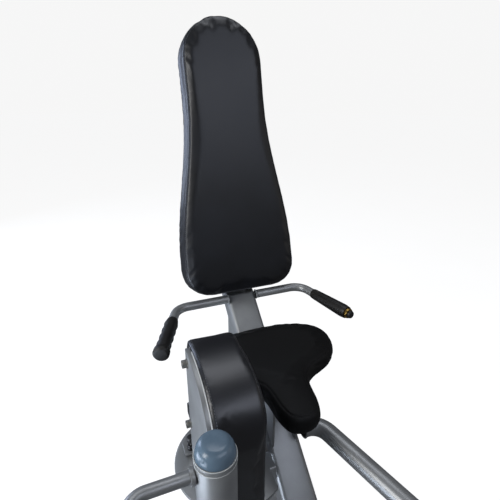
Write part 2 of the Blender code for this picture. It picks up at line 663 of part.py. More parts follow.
def make_index_pin(pivot, mats):
    low = PLATE_TOP + 0.003
    bar_rear = PIVOT.y + 0.020 + GAP
    tab = [(-0.166, bar_rear), (-0.166, -0.216), (-0.234, -0.216), (-0.234, PAD_PLATE_REAR + GAP),
           (PAD_OUTER_X, PAD_PLATE_REAR + GAP), (PAD_OUTER_X, bar_rear)]
    outline = [at(x, y, 0) for x, y in tab]
    made = finish("pin_tab", plate(outline, UP * low, UP * (low + 0.005)), mats["paint"], pivot)
    cut_away(made, "tab_hole", [(index_place(INDEX_REST, low), PIN_RADIUS + 0.0006, 0.01)])
    top = low + 0.005 + GAP
    place = index_place(INDEX_REST, 0)
    bore = PIN_RADIUS + 0.0004
    housing = [(bore, top), (0.0095, top), (0.0095, top + 0.005), (0.0085, top + 0.006), (0.0085, top + 0.011),
               (0.0075, top + 0.012), (bore, top + 0.012)]
    finish("pin_housing", turned(housing, place, UP, 20, ring=True), mats["steel"], pivot)
    slider = empty("index_pin_axis", index_place(INDEX_REST, PLATE_TOP))
    tip = PLATE_TOP + PIN_LIFT
    knob_low = top + 0.012 + PIN_TRAVEL
    pin_top = knob_low + 0.006
    pin = [(0, tip), (PIN_RADIUS - 0.001, tip), (PIN_RADIUS, tip + 0.002), (PIN_RADIUS, pin_top), (0, pin_top)]
    finish("index_pin", turned(pin, place, UP, 16), mats["steel"], slider)
    knob = [(bore, knob_low), (0.0085, knob_low), (0.0100, knob_low + 0.003), (0.0100, knob_low + 0.010),
            (0.0080, knob_low + 0.013), (0, knob_low + 0.014), (0, pin_top + GAP), (bore, pin_top + GAP)]
    finish("index_knob", turned(knob, place, UP, 20, ring=True), mats["plastic"], slider)


# Hand lever on the post

def make_lever(mats):
    start_x = POST_X - POST_RADIUS - 0.0006
    pivot = empty("lever_pivot", at(start_x, POST_Y, LEVER_Z))
    bush_bore = LEVER_RADIUS + 0.0004
    bush = [(bush_bore, 0), (0.0142, 0), (0.0142, 0.008), (bush_bore, 0.008)]
    finish("lever_bush", turned(bush, at(start_x, POST_Y, LEVER_Z), -ACROSS, 20, ring=True), mats["paint"])
    corner = at(LEVER_CORNER_X, POST_Y, LEVER_Z)
    end = at(LEVER_END.x, LEVER_END.y, LEVER_Z)
    ahead = (end - corner).normalized()
    path = fillet([at(start_x - 0.0005, POST_Y, LEVER_Z), corner, end], LEVER_BEND, 8)
    bm = sweep(path, circle(LEVER_RADIUS, 16), UP, circle(LEVER_RADIUS - 0.002, 16))
    finish("lever_tube", bm, mats["paint"], pivot)
    bore = LEVER_RADIUS + GAP
    length = LEVER_GRIP_LENGTH
    grip = [(bore, 0), (0.0132, 0), (0.0142, 0.004), (0.0148, length / 2), (0.0142, length - 0.004),
            (0.0132, length), (bore, length)]
    finish("lever_grip", turned(grip, end - ahead * length, ahead, 20, ring=True), mats["rubber"], pivot)
    plug = [(0, GAP), (0.0126, GAP), (0.0130, 0.003), (0.0095, 0.006), (0, 0.006)]
    finish("lever_plug", turned(plug, end, ahead, 20), mats["plastic"], pivot)


def main():
    for old in list(bpy.data.objects):
        bpy.data.objects.remove(old)
    mats = make_materials()
    make_base(mats)
    make_spine(mats)
    make_back_frame(mats)
    make_back_pad(mats)
    make_handles(mats)
    make_seat(mats)
    make_post(mats)
    make_foot_pegs(mats)
    make_side_tube(mats)
    make_range_plate(mats)
    make_leg_arm(mats)
    make_lever(mats)


main()
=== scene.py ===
# %% [markdown]
# # A seated hip trainer, finished
#
# The solid model gives every frame tube, pin and pad its true size and place. This script adds what
# the eye needs: paint, vinyl, rubber and steel, soft edges, padded cushions with their seams and
# stitches, and the small fasteners. Every piece rides on one of the model's moving bodies.

# %% Load the solid model
import json
import math

import bmesh
import bpy
import numpy as np
from mathutils import Matrix, Vector
from mathutils.bvhtree import BVHTree

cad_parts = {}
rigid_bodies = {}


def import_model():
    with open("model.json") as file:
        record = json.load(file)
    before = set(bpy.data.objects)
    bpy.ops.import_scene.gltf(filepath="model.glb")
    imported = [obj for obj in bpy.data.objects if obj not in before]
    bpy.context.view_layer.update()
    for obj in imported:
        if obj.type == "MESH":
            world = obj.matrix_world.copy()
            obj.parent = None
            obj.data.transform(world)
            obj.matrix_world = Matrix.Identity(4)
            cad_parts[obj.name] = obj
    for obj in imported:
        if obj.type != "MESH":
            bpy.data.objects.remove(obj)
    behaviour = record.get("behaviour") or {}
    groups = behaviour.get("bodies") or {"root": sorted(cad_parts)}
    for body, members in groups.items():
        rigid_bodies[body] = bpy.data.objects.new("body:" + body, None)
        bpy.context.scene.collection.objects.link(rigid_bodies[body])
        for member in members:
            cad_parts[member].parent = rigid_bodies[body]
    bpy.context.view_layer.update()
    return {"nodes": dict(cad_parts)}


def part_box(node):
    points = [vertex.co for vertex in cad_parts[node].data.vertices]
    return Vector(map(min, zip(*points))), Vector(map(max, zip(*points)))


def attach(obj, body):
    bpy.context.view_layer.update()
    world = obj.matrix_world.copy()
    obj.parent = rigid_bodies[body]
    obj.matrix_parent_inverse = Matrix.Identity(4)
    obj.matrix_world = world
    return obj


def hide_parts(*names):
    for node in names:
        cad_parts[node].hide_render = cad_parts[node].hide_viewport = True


for old in list(bpy.data.objects):
    bpy.data.objects.remove(old)
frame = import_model()
nodes = frame["nodes"]

# %% [markdown]
# ## Two small tools for materials
#
# Screens and colour charts give colours as sRGB hex values, while Blender's shaders work in linear
# light, so one function turns the first into the second. The other adds a node with its settings and
# its links in a single call, which keeps a material short enough to read.

# %% Colour and node helpers
def linear(hex_colour):
    """An sRGB hex colour as the linear RGBA that a shader takes."""
    parts = [int(hex_colour[i:i + 2], 16) / 255 for i in (1, 3, 5)]
    return (*[c / 12.92 if c <= 0.04045 else ((c + 0.055) / 1.055) ** 2.4 for c in parts], 1.0)


def node(tree, kind, settings=None, **sockets):
    """Adds a node. A socket is given by its name, with _ for a space, as a value or a link's source."""
    made = tree.nodes.new(kind)
    for key, value in (settings or {}).items():
        setattr(made, key, value)
    for key, value in sockets.items():
        name = key.replace("_", " ")
        numbered = name.startswith("in") and name[2:].isdigit()
        target = made.inputs[int(name[2:]) if numbered else name]
        if isinstance(value, bpy.types.NodeSocket):
            tree.links.new(value, target)
        else:
            target.default_value = value
    return made


def new_material(name):
    """An empty material with its Principled shader, its tree and the object coordinates in metres."""
    made = bpy.data.materials.new(name)
    made.use_nodes = True
    tree = made.node_tree
    shader = tree.nodes["Principled BSDF"]
    place = node(tree, "ShaderNodeTexCoord").outputs["Object"]
    return made, tree, shader, place


def tones(tree, source, dark, light, low=0.35, high=0.65):
    """A colour that goes from dark to light as the source goes from low to high."""
    ramp = node(tree, "ShaderNodeValToRGB", Fac=source)
    ramp.color_ramp.elements[0].position, ramp.color_ramp.elements[1].position = low, high
    ramp.color_ramp.elements[0].color, ramp.color_ramp.elements[1].color = linear(dark), linear(light)
    return ramp.outputs["Color"]


def spread(tree, source, low, high):
    """A number that runs from low to high with the source."""
    return node(tree, "ShaderNodeMapRange", Value=source, To_Min=low, To_Max=high).outputs["Result"]


MM = 0.001
print("linear mid grey:", [round(v, 3) for v in linear("#808080")])

# %% [markdown]
# ## Silver powder paint
#
# The frame is steel tube with a silver powder coat. Powder melts into a smooth film with a faint
# orange peel about 2 mm across, and its aluminium flakes give a soft, broad sheen, so the surface is
# part metal and fairly rough under a thin clear film. Handling leaves slightly duller patches.

# %% Silver powder paint
def silver_powder_coat():
    made, tree, shader, place = new_material("silver_powder_coat_on_steel")
    flakes = node(tree, "ShaderNodeTexNoise", Vector=place, Scale=1 / (0.9 * MM), Detail=1.0)
    wear = node(tree, "ShaderNodeTexNoise", Vector=place, Scale=1 / (90 * MM), Detail=5.0)
    peel = node(tree, "ShaderNodeTexNoise", Vector=place, Scale=1 / (2.2 * MM), Detail=1.0)
    colour = tones(tree, wear.outputs["Fac"], "#8f9090", "#a3a5a4")
    sparkle = tones(tree, flakes.outputs["Fac"], "#979898", "#a9abaa")
    mixed = node(tree, "ShaderNodeMix", {"data_type": "RGBA"}, Factor=0.25)
    tree.links.new(colour, mixed.inputs["A"])
    tree.links.new(sparkle, mixed.inputs["B"])
    tree.links.new(mixed.outputs["Result"], shader.inputs["Base Color"])
    tree.links.new(spread(tree, wear.outputs["Fac"], 0.38, 0.46), shader.inputs["Roughness"])
    bump = node(tree, "ShaderNodeBump", Strength=0.04, Distance=0.12 * MM, Height=peel.outputs["Fac"])
    tree.links.new(bump.outputs["Normal"], shader.inputs["Normal"])
    shader.inputs["Metallic"].default_value = 0.55
    shader.inputs["Coat Weight"].default_value = 0.25
    shader.inputs["Coat Roughness"].default_value = 0.22
    return made


paint = silver_powder_coat()

# %% [markdown]
# ## Upholstery vinyl
#
# The pads are covered in black PVC upholstery vinyl, embossed from a roller with a fine leather
# grain of cells about 1 mm across. It is a soft plastic with a broad, low gloss, whose tone and
# roughness change slowly in broad patches. The seat has a plainer and duller cover than the back pad,
# and the leg pad's is rubbed glossier.

# %% Upholstery vinyl
def upholstery_vinyl(name, dark, light, gloss, dull, sheen, shine):
    made, tree, shader, place = new_material(name)
    grain = node(tree, "ShaderNodeTexVoronoi", {"feature": "DISTANCE_TO_EDGE"}, Vector=place,
                 Scale=1 / (1.3 * MM))
    pores = node(tree, "ShaderNodeTexNoise", Vector=place, Scale=1 / (0.7 * MM), Detail=3.0)
    patches = node(tree, "ShaderNodeTexNoise", Vector=place, Scale=1 / (120 * MM), Detail=4.0)
    colour = tones(tree, patches.outputs["Fac"], dark, light)
    tree.links.new(colour, shader.inputs["Base Color"])
    tree.links.new(spread(tree, patches.outputs["Fac"], gloss, dull), shader.inputs["Roughness"])
    cells = spread(tree, grain.outputs["Distance"], 0.0, 1.0)
    low = node(tree, "ShaderNodeBump", Strength=0.10, Distance=0.2 * MM, Height=cells)
    fine = node(tree, "ShaderNodeBump", Strength=0.08, Distance=0.15 * MM,
                Height=pores.outputs["Fac"], Normal=low.outputs["Normal"])
    tree.links.new(fine.outputs["Normal"], shader.inputs["Normal"])
    shader.inputs["IOR"].default_value = 1.52
    shader.inputs["Sheen Weight"].default_value = sheen
    shader.inputs["Sheen Roughness"].default_value = 0.4
    shader.inputs["Specular IOR Level"].default_value = shine
    return made


pad_vinyl = upholstery_vinyl("black_embossed_pvc_vinyl", "#0a0b0e", "#101217", 0.34, 0.46, 0.03, 0.55)
polished_vinyl = upholstery_vinyl("worn_glossy_black_pvc_vinyl", "#0b0c10", "#12141a", 0.30, 0.40, 0.05, 0.80)
seat_vinyl = upholstery_vinyl("dull_black_pvc_vinyl", "#090909", "#0e0e0e", 0.50, 0.62, 0.0, 0.22)

# %% [markdown]
# ## Rubber, plastics, steel and brass
#
# Hand grips are moulded nitrile rubber, which dulls and picks up pale dust. The post's cap is
# injection-moulded glossy blue-grey plastic with fine rub marks. End caps, the knob and the damper's
# housing are black moulded nylon with a spark-eroded texture. Bolts and pins are turned steel, zinc
# plated, with lathe rings too fine to see and small changes of gloss. The ferrule is turned brass.

# %% Rubber, plastics, steel and brass
def moulded(name, dark, light, gloss, dull, texture_size, depth, ior=1.5):
    """A moulded polymer with a fine texture and slow changes of tone and gloss."""
    made, tree, shader, place = new_material(name)
    texture = node(tree, "ShaderNodeTexNoise", Vector=place, Scale=1 / texture_size, Detail=3.0)
    handling = node(tree, "ShaderNodeTexNoise", Vector=place, Scale=1 / (30 * MM), Detail=5.0)
    tree.links.new(tones(tree, handling.outputs["Fac"], dark, light), shader.inputs["Base Color"])
    tree.links.new(spread(tree, handling.outputs["Fac"], gloss, dull), shader.inputs["Roughness"])
    bump = node(tree, "ShaderNodeBump", Strength=0.2, Distance=depth, Height=texture.outputs["Fac"])
    tree.links.new(bump.outputs["Normal"], shader.inputs["Normal"])
    shader.inputs["IOR"].default_value = ior
    return made


def turned_metal(name, dark, light, gloss, dull):
    """A lathe-turned or plated metal, with a mottled tone where the plating varies."""
    made, tree, shader, place = new_material(name)
    mottle = node(tree, "ShaderNodeTexNoise", Vector=place, Scale=1 / (6 * MM), Detail=6.0)
    tree.links.new(tones(tree, mottle.outputs["Fac"], dark, light), shader.inputs["Base Color"])
    tree.links.new(spread(tree, mottle.outputs["Fac"], gloss, dull), shader.inputs["Roughness"])
    shader.inputs["Metallic"].default_value = 1.0
    return made


grip_rubber = moulded("moulded_nitrile_rubber", "#0d0c0b", "#1a1815", 0.40, 0.60, 0.8 * MM, 0.25 * MM, 1.52)
cap_plastic = moulded("glossy_blue_grey_polypropylene", "#5d7181", "#6a7e8d", 0.16, 0.26, 3 * MM, 0.03 * MM,
                      1.49)
black_nylon = moulded("black_moulded_nylon", "#151516", "#1e1e20", 0.40, 0.55, 0.6 * MM, 0.15 * MM, 1.53)
board_lacquer = moulded("black_lacquered_plywood", "#131313", "#1b1a19", 0.55, 0.70, 1.5 * MM, 0.2 * MM, 1.5)
zinc_steel = turned_metal("zinc_plated_turned_steel", "#8b8a85", "#b0aea7", 0.28, 0.42)
dark_steel = turned_metal("black_oxide_turned_steel", "#2e2e30", "#4a4a4b", 0.30, 0.45)
brass = turned_metal("turned_brass", "#9c7a35", "#c9a75c", 0.25, 0.40)
print("materials:", len(bpy.data.materials))

# %% [markdown]
# ## Soft edges on the metal
#
# The solid model's edges are perfectly sharp and its round tubes are many-sided. Real tube corners
# and plate edges are broken by a small radius that catches a thin line of light. Each carried-over
# part gets a weld, a small bevel on its sharp edges and a Geometry Nodes tree that smooths every
# edge flatter than a set angle. The part's own mesh stays as it is.

# %% Weld, bevel and smooth by angle
def smoothing_tree():
    tree = bpy.data.node_groups.new("smooth_by_angle", "GeometryNodeTree")
    tree.interface.new_socket("Geometry", in_out="INPUT", socket_type="NodeSocketGeometry")
    tree.interface.new_socket("Largest smooth angle", in_out="INPUT", socket_type="NodeSocketFloat")
    tree.interface.new_socket("Geometry", in_out="OUTPUT", socket_type="NodeSocketGeometry")
    start = tree.nodes.new("NodeGroupInput")
    angle = node(tree, "GeometryNodeInputMeshEdgeAngle")
    smooth = node(tree, "FunctionNodeCompare", {"operation": "LESS_THAN"},
                  in0=angle.outputs["Unsigned Angle"],
                  in1=start.outputs["Largest smooth angle"])
    faces = node(tree, "GeometryNodeSetShadeSmooth", {"domain": "FACE"}, in0=start.outputs["Geometry"])
    edges = node(tree, "GeometryNodeSetShadeSmooth", {"domain": "EDGE"}, in0=faces.outputs[0],
                 in2=smooth.outputs[0])
    end = tree.nodes.new("NodeGroupOutput")
    tree.links.new(edges.outputs[0], end.inputs[0])
    return tree


SMOOTHING = smoothing_tree()


def socket_id(tree, name):
    """The identifier of a tree's input, which is how a modifier's value is set."""
    return next(s.identifier for s in tree.interface.items_tree if s.name == name and s.in_out == "INPUT")


def soften(obj, radius, sharp=32):
    """Breaks an object's sharp edges with a small round and smooths the rest."""
    weld = obj.modifiers.new("weld", "WELD")
    weld.merge_threshold = 0.01 * MM
    if radius:
        bevel = obj.modifiers.new("broken_edges", "BEVEL")
        bevel.width, bevel.segments, bevel.limit_method = radius, 2, "ANGLE"
        bevel.angle_limit = math.radians(sharp)
        bevel.use_clamp_overlap = True
    shade = obj.modifiers.new("smooth_by_angle", "NODES")
    shade.node_group = SMOOTHING
    shade[socket_id(SMOOTHING, "Largest smooth angle")] = math.radians(sharp + 4)


def dress(names, finish, radius=0.0):
    """Gives carried-over parts their finish and their broken edges."""
    for name in names:
        nodes[name].data.materials.clear()
        nodes[name].data.materials.append(finish)
        soften(nodes[name], radius)


TUBES = ["spine", "rear_leg", "back_upright", "base_rail", "front_crossbar", "rear_crossbar",
         "post_outrigger", "pivot_bracket", "arm_bar", "handle_right", "handle_left", "post", "side_tube",
         "lever_tube"]
PLATES = ["back_bracket_lower", "back_bracket_upper", "seat_gusset_right", "seat_gusset_left", "range_plate",
          "pad_plate", "pin_tab", "pivot_hub", "lever_bush", "post_ring", "foot_peg_right", "foot_peg_left"]
PLASTIC = ["upright_cap", "front_cap_left", "front_cap_right", "rear_cap_left", "rear_cap_right",
           "outrigger_cap", "grip_plug_left", "lever_plug", "damper_body", "index_knob"]
RUBBER = ["grip_right", "grip_left", "lever_grip", "foot_sleeve_right", "foot_sleeve_left", "front_foot_left",
          "front_foot_right", "rear_foot_left", "rear_foot_right", "outrigger_foot"]
dress(TUBES, paint, 0.4 * MM)
dress(PLATES, paint, 0.8 * MM)
dress(PLASTIC, black_nylon, 0.6 * MM)
dress(RUBBER, grip_rubber, 0.5 * MM)
dress(["back_board", "seat_board"], board_lacquer, 1.5 * MM)
dress(["pivot_shaft", "index_pin", "pad_bolt_upper", "pad_bolt_lower"], zinc_steel, 0.5 * MM)
dress(["pin_housing"], dark_steel, 0.4 * MM)
dress(["grip_ferrule_left"], brass, 0.3 * MM)
dress(["post_cap"], cap_plastic, 1.0 * MM)
print("dressed:", sum(len(o.modifiers) > 0 for o in nodes.values()), "of", len(nodes), "parts")

# %% [markdown]
# ## Padded pieces as inflated cloth
#
# A gym pad is a block of moulded foam in a stretched cover. A box with round edges looks like
# plastic, because the real cover swells between its seams. So each pad starts from its solid, is
# drawn in a few millimetres, remeshed into small even faces and blown up by Blender's cloth
# simulation, with the part that lies on the board held still. A cap on how far a point may travel
# keeps it inside its own space. Seams come afterwards, since a remesh would wipe them out.

# %% Tools for padded pieces
scene = bpy.context.scene


def show(name, mesh, finish=None):
    made = bpy.data.objects.new(name, mesh)
    scene.collection.objects.link(made)
    if finish:
        mesh.materials.clear()
        mesh.materials.append(finish)
    return made


def settle(obj):
    """Turns an object with live modifiers into a plain mesh."""
    graph = bpy.context.evaluated_depsgraph_get()
    graph.update()
    mesh = bpy.data.meshes.new_from_object(obj.evaluated_get(graph))
    obj.modifiers.clear()
    obj.data = mesh
    return obj


def points_of(mesh):
    found = np.empty(len(mesh.vertices) * 3, np.float32)
    mesh.vertices.foreach_get("co", found)
    return found.reshape(-1, 3).astype(np.float64)


def normals_of(mesh):
    found = np.empty(len(mesh.vertices) * 3, np.float32)
    mesh.vertex_normals.foreach_get("vector", found)
    return found.reshape(-1, 3).astype(np.float64)


def set_points(mesh, points):
    mesh.vertices.foreach_set("co", points.astype(np.float32).ravel())
    mesh.update()


def merged_copy(part):
    bm = bmesh.new()
    bm.from_mesh(nodes[part].data)
    bmesh.ops.remove_doubles(bm, verts=bm.verts, dist=0.01 * MM)
    mesh = bpy.data.meshes.new(part + "_copy")
    bm.to_mesh(mesh)
    bm.free()
    return mesh


def stuffed(name, part, cover, body, voxel, draw_in, swell, held):
    """A pad that takes the place of its solid. held(points) marks what lies on the board."""
    pad = show(name, merged_copy(part), cover)
    remesh = pad.modifiers.new("even_faces", "REMESH")
    remesh.mode, remesh.voxel_size, remesh.use_smooth_shade = "VOXEL", voxel, True
    relax = pad.modifiers.new("relax", "SMOOTH")
    relax.factor, relax.iterations = 0.5, 6
    settle(pad)
    start = points_of(pad.data)
    still = held(start)
    start = start - normals_of(pad.data) * np.where(still, 0.0, draw_in)[:, None]
    set_points(pad.data, start)
    group = pad.vertex_groups.new(name="on_the_board")
    group.add([int(i) for i in np.flatnonzero(still)], 1.0, "REPLACE")
    cloth = pad.modifiers.new("inflate", "CLOTH")
    cloth.settings.use_pressure = True
    cloth.settings.uniform_pressure_force = 4.0
    cloth.settings.effector_weights.gravity = 0.0
    cloth.settings.vertex_group_mass = "on_the_board"
    cloth.point_cache.frame_start, cloth.point_cache.frame_end = 1, 20
    for step in range(1, 21):
        scene.frame_set(step)
    blown = pad.evaluated_get(bpy.context.evaluated_depsgraph_get())
    travel = points_of(blown.data) - start
    pad.modifiers.clear()
    scene.frame_set(1)
    length = np.maximum(np.linalg.norm(travel, axis=1), 1e-9)
    set_points(pad.data, start + travel * np.minimum(1.0, swell / length)[:, None])
    print(name, "moved", round(float(length.mean()) * 1000, 1), "mm on average before the cap")
    even = pad.modifiers.new("even_again", "SMOOTH")
    even.factor, even.iterations = 0.5, 3
    fine = pad.modifiers.new("finer_cover", "SUBSURF")
    fine.levels = fine.render_levels = 1
    settle(pad)
    pad.data.materials.clear()
    pad.data.materials.append(cover)
    pad.data.shade_smooth()
    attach(pad, body)
    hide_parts(part)
    return pad


def laid_on(pad, path, lift=0.0):
    """The path's points moved onto a pad's surface, and the surface's normals there."""
    tree = BVHTree.FromObject(pad, bpy.context.evaluated_depsgraph_get())
    found = [tree.find_nearest(p) for p in path]
    return [hit[0] + hit[1] * lift for hit in found], [hit[1] for hit in found]


def evenly(path, step, closed=False):
    """The path resampled to points a step apart."""
    points = np.array([tuple(p) for p in (path + path[:1] if closed else path)])
    along = np.concatenate([[0], np.cumsum(np.linalg.norm(np.diff(points, axis=0), axis=1))])
    count = max(2, int(along[-1] / step))
    wanted = np.linspace(0, along[-1], count, endpoint=not closed)
    return [Vector(np.array([np.interp(w, along, points[:, k]) for k in range(3)])) for w in wanted]


def sink_seam(pad, path, depth, width):
    """Presses a seam's valley into a pad along a path."""
    line = np.array([tuple(p) for p in evenly(path, 1.5 * MM)])
    points, normals = points_of(pad.data), normals_of(pad.data)
    near = np.full(len(points), np.inf)
    for some in np.array_split(line, max(1, len(line) // 64)):
        low, high = some.min(0) - 4 * width, some.max(0) + 4 * width
        inside = np.flatnonzero(((points > low) & (points < high)).all(1))
        if len(inside):
            gaps = np.linalg.norm(points[inside, None] - some[None], axis=2).min(1)
            near[inside] = np.minimum(near[inside], gaps)
    drop = depth * np.exp(-(near / width) ** 2)
    set_points(pad.data, points - normals * drop[:, None])


print("cloth:", "run for each pad")

# %% [markdown]
# ## The three pads
#
# The back pad lies on a board, so the rear of its cover is held. The seat's underside is held. The leg
# pad is held where it meets the steel plate. The amounts are small: firm gym foam swells its cover by
# only a few millimetres.

# %% Blow up the three pads
BACK_ANGLE = math.radians(75.7)
BACK_REAR = Vector((0, math.sin(BACK_ANGLE), -math.cos(BACK_ANGLE)))
board_face = float(max(Vector(p).dot(BACK_REAR) for p in points_of(nodes["back_pad"].data)))
foam_face = float(min(Vector(p).dot(BACK_REAR) for p in points_of(nodes["back_pad"].data)))
leg_low, leg_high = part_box("leg_pad")


def on_back_board(points):
    return points @ np.array(BACK_REAR) > board_face - 6 * MM


def on_leg_plate(points):
    return points[:, 0] < leg_low.x + 4 * MM


def on_seat_board(points):
    seat_low, seat_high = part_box("seat_cushion")
    solid = points_of(nodes["seat_cushion"].data)
    rear = solid[solid[:, 1] > seat_high.y - 2 * MM][:, 2].min()
    front = solid[solid[:, 1] < seat_low.y + 12 * MM][:, 2].min()
    slope = (rear - front) / (seat_high.y - seat_low.y)
    return points[:, 2] < front + (points[:, 1] - seat_low.y) * slope + 7 * MM


back_pad = stuffed("back_pad_cover", "back_pad", pad_vinyl, "frame", 5 * MM, 3 * MM, 5 * MM, on_back_board)
seat_pad = stuffed("seat_cover", "seat_cushion", seat_vinyl, "frame", 4 * MM, 1.5 * MM, 6 * MM, on_seat_board)
leg_pad = stuffed("leg_pad_cover", "leg_pad", polished_vinyl, "leg_arm", 4 * MM, 1 * MM, 4 * MM, on_leg_plate)

# %% [markdown]
# ## Seams and stitches
#
# Each pad's front panel is sewn to a side band, and on the back pad and the leg pad a row of lock
# stitches runs beside the seam. The seams follow the solids' own outlines, so they stay true to each
# pad. The thread is a row of equal short beads along a path, which is the kind of thing Geometry Nodes
# are for: the tree turns a line of edges into a curve, sets a bead at each pitch and points it along
# the curve.

# %% A tree that sets beads along a path
def bead_tree():
    tree = bpy.data.node_groups.new("beads_along_a_path", "GeometryNodeTree")
    tree.interface.new_socket("Geometry", in_out="INPUT", socket_type="NodeSocketGeometry")
    for name in ("Pitch", "Bead length", "Bead radius"):
        tree.interface.new_socket(name, in_out="INPUT", socket_type="NodeSocketFloat")
    tree.interface.new_socket("Material", in_out="INPUT", socket_type="NodeSocketMaterial")
    tree.interface.new_socket("Geometry", in_out="OUTPUT", socket_type="NodeSocketGeometry")
    start = tree.nodes.new("NodeGroupInput").outputs
    curve = node(tree, "GeometryNodeMeshToCurve", Mesh=start["Geometry"])
    spots = node(tree, "GeometryNodeCurveToPoints", {"mode": "LENGTH"}, Curve=curve.outputs[0],
                 Length=start["Pitch"])
    bead = node(tree, "GeometryNodeMeshUVSphere", Segments=6, Rings=5, Radius=start["Bead radius"])
    twice = node(tree, "ShaderNodeMath", {"operation": "MULTIPLY"}, in0=start["Bead radius"], in1=2.0)
    stretch = node(tree, "ShaderNodeMath", {"operation": "DIVIDE"}, in0=start["Bead length"],
                   in1=twice.outputs[0])
    scale = node(tree, "ShaderNodeCombineXYZ", X=1.0, Y=1.0, Z=stretch.outputs[0])
    placed = node(tree, "GeometryNodeInstanceOnPoints", Points=spots.outputs["Points"],
                  Instance=bead.outputs["Mesh"], Rotation=spots.outputs["Rotation"], Scale=scale.outputs[0])
    real = node(tree, "GeometryNodeRealizeInstances", Geometry=placed.outputs[0])
    shaded = node(tree, "GeometryNodeSetShadeSmooth", in0=real.outputs[0])
    named = node(tree, "GeometryNodeSetMaterial", Geometry=shaded.outputs[0], Material=start["Material"])
    end = tree.nodes.new("NodeGroupOutput")
    tree.links.new(named.outputs[0], end.inputs[0])
    return tree


BEADS = bead_tree()


def beads(name, paths, finish, body, pitch, length, radius):
    """One mesh of beads along several open paths."""
    mesh = bpy.data.meshes.new(name)
    corners, edges = [], []
    for path in paths:
        first = len(corners)
        corners += [tuple(p) for p in path]
        edges += [(first + i, first + i + 1) for i in range(len(path) - 1)]
    mesh.from_pydata(corners, edges, [])
    made = show(name, mesh)
    rows = made.modifiers.new("beads", "NODES")
    rows.node_group = BEADS
    for key, value in (("Pitch", pitch), ("Bead length", length), ("Bead radius", radius),
                       ("Material", finish)):
        rows[socket_id(BEADS, key)] = value
    settle(made)
    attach(made, body)
    print(name, len(made.data.polygons), "faces")
    return made


def rope(name, path, radius, finish, body, closed=False):
    """A round cord laid along a path, as a plain mesh."""
    curve = bpy.data.curves.new(name, "CURVE")
    curve.dimensions, curve.bevel_depth, curve.bevel_resolution = "3D", radius, 2
    curve.use_fill_caps = True
    spline = curve.splines.new("POLY")
    spline.points.add(len(path) - 1)
    for point, place in zip(spline.points, path):
        point.co = (*place, 1.0)
    spline.use_cyclic_u = closed
    made = bpy.data.objects.new(name, curve)
    scene.collection.objects.link(made)
    mesh = bpy.data.meshes.new_from_object(made.evaluated_get(bpy.context.evaluated_depsgraph_get()))
    bpy.data.objects.remove(made)
    mesh.shade_smooth()
    made = show(name, mesh, finish)
    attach(made, body)
    return made


thread = moulded("bonded_nylon_thread", "#55585c", "#6c7075", 0.45, 0.6, 0.3 * MM, 0.05 * MM, 1.53)

# %% [markdown]
# The back pad's panel seam is the solid's own outline, a little way behind its face. The solid was
# made of rings of points, so the ring at that depth is picked out and put in order round its middle.

# %% Seams of the back pad
def ring_of(part, along, depth, slack=0.3 * MM):
    """A solid's corners that lie at a depth along a direction, in order round their middle."""
    solid = points_of(nodes[part].data)
    ring = np.unique(np.round(solid[abs(solid @ np.array(along) - depth) < slack], 6), axis=0)
    side = Vector((1, 0, 0))
    other = along.cross(side)
    offset = ring - ring.mean(0)
    order = np.argsort(np.arctan2(offset @ np.array(other), offset @ np.array(side)))
    return [Vector(p) for p in ring[order]]


panel_ring = ring_of("back_pad", BACK_REAR, foam_face + 8 * MM)
panel_seam, _ = laid_on(back_pad, evenly(panel_ring, 4 * MM, closed=True))
sink_seam(back_pad, panel_seam + panel_seam[:1], 1.4 * MM, 2.6 * MM)
panel_fold, _ = laid_on(back_pad, panel_seam, 0.3 * MM)
rope("back_pad_fold", panel_fold, 1.0 * MM, pad_vinyl, "frame", closed=True)
beside_seam = [p - 3.2 * MM * BACK_REAR for p in panel_ring]
back_stitches, _ = laid_on(back_pad, evenly(beside_seam, 4 * MM, closed=True), 0.1 * MM)
print("back pad seam:", len(panel_seam), "points")

# %% [markdown]
# The leg pad's cover has three panels: a broad one that runs over the arch and down the front, and
# two flat sides. Their seams are the arch's own curve, an ellipse that turns into a straight line.

# %% Seams of the leg pad
ARCH_DEPTH, ARCH_HEIGHT = 0.153, 0.107
arch_y, arch_z = leg_low.y + ARCH_DEPTH, leg_high.z - ARCH_HEIGHT


def arch_path(x, inset):
    """Over the arch from the rear end and down the front, at a place across the pad."""
    path = []
    for i in range(25):
        angle = math.radians(122 * (1 - i / 24))
        path.append(Vector((x, arch_y - (ARCH_DEPTH - inset) * math.cos(angle),
                            arch_z + (ARCH_HEIGHT - inset) * math.sin(angle))))
    return path + [Vector((x, leg_low.y + inset, leg_low.z + 6 * MM))]


seams = []
for x in (leg_low.x + 4 * MM, leg_high.x - 4 * MM):
    seam, _ = laid_on(leg_pad, evenly(arch_path(x, 3 * MM), 4 * MM))
    sink_seam(leg_pad, seam, 0.8 * MM, 2.2 * MM)
    seams.append(laid_on(leg_pad, seam, 0.2 * MM)[0])
rope("leg_pad_fold_inner", seams[1], 0.9 * MM, polished_vinyl, "leg_arm")
leg_stitches = [laid_on(leg_pad, evenly(arch_path(leg_low.x + 8 * MM, 1 * MM), 4 * MM), 0.1 * MM)[0]]
beads("leg_pad_stitches", leg_stitches, thread, "leg_arm", 5 * MM, 3.4 * MM, 0.55 * MM)

# %% [markdown]
# The seat's cover has a top panel and a side band. They meet in one seam that runs all the way round,
# just inside the lobes and along the nose, where the flat top turns down. The solid has a ring of
# points at that height, so the seam is found as on the back pad.

